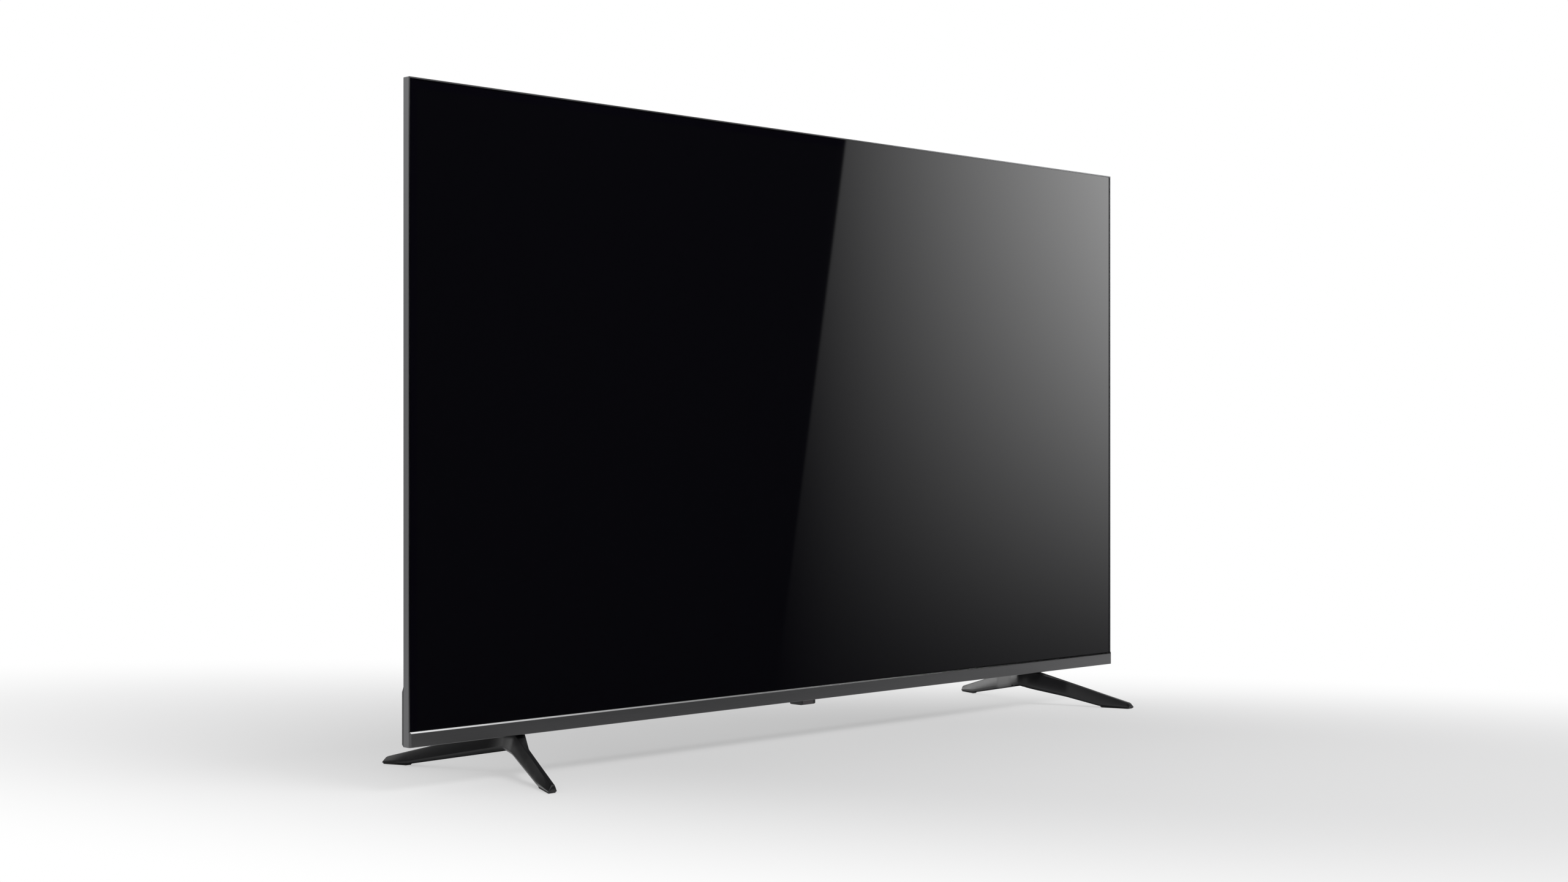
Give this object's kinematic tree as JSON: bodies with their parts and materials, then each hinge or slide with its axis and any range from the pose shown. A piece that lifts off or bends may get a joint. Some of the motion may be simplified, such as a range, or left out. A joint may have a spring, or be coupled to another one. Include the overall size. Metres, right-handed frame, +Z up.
{
  "type": "flat screen television",
  "caption": "Slim flat screen television on two splayed arched feet, with a receiver pod under the screen and wall mounting posts behind.",
  "frame": {"origin": "on the table, at the middle of the width and midway between the feet's front and back tips", "axes": "+X along the screen to its right as seen from the front, +Y from the screen to the back, +Z up"},
  "size_m": [1.232, 0.303, 0.756],
  "materials": {
    "brushed_frame": "fine brushed, dark anodised",
    "bezel_metal": "satin grey with a polished chamfer",
    "screen_glass": "glossy black",
    "white_plastic": "satin moulded",
    "clear_plastic": "clear moulded",
    "film": "smooth film",
    "sheet_steel": "zinc coated, pressed",
    "cover_plastic": "fine grained moulded",
    "circuit_board": "lacquered board",
    "black_plastic": "moulded",
    "dark_window": "smooth, dark",
    "socket_metal": "plated",
    "black_metal": "black coated",
    "foot_gloss": "glossy black lacquer",
    "pad_rubber": "matt",
    "sink_metal": "extruded",
    "ribbon": "flat film cable",
    "amber_film": "amber film",
    "cone_paper": "pressed fibre",
    "magnet": "plated",
    "core": "wound and taped",
    "sleeve": "shrunk sleeve"
  },
  "bodies": {
    "set": {"outer_frame": "brushed_frame", "bottom_bezel": "bezel_metal", "lcd_cell": "screen_glass", "middle_frame": "black_plastic", "prism_film": "film", "diffuser_film": "film", "diffuser_plate": "white_plastic", "back_chassis": "sheet_steel", "light_bars": "circuit_board", "led_lenses": "clear_plastic", "reflector_sheet": "white_plastic", "plate_pins": "white_plastic", "main_board": "circuit_board", "power_board": "circuit_board", "timing_board": "circuit_board", "board_spacers": "sheet_steel", "video_sockets": "socket_metal", "data_sockets": "socket_metal", "network_socket": "socket_metal", "optical_socket": "black_plastic", "aerial_socket": "socket_metal", "mains_inlet": "black_plastic", "transformers": "core", "capacitors": "sleeve", "power_heat_sink": "sink_metal", "main_heat_sink": "sink_metal", "wireless_module": "socket_metal", "display_ribbon": "ribbon", "power_lead": "ribbon", "source_boards": "circuit_board", "film_connectors": "amber_film", "left_speaker_box": "black_plastic", "right_speaker_box": "black_plastic", "left_speaker_magnet": "magnet", "right_speaker_magnet": "magnet", "rear_cover": "cover_plastic", "mounting_posts": "socket_metal", "cover_screws": "black_metal", "pod_shell": "black_plastic", "receiver_window": "dark_window", "receiver_board": "circuit_board", "press_switch": "socket_metal", "right_foot": "foot_gloss", "left_foot": "foot_gloss", "foot_pads": "pad_rubber", "foot_brackets": "sheet_steel", "foot_screws": "black_metal"},
    "power_button": {"power_button": "black_plastic"},
    "left_cone": {"left_speaker_cone": "cone_paper"},
    "right_cone": {"right_speaker_cone": "cone_paper"}
  },
  "joints": [
    {"name": "power_button_press", "type": "slide", "parent": "set", "child": "power_button", "axis": [0, 0, 1], "range_m": [0, 0.0005], "stiffness_N_per_m": 600, "springref_m": -0.0005},
    {"name": "left_cone_travel", "type": "slide", "parent": "set", "child": "left_cone", "axis": [0, 0, 1], "range_m": [-0.001, 0.001], "stiffness_N_per_m": 2000},
    {"name": "right_cone_travel", "type": "slide", "parent": "set", "child": "right_cone", "axis": [0, 0, 1], "range_m": [-0.001, 0.001], "stiffness_N_per_m": 2000}
  ]
}
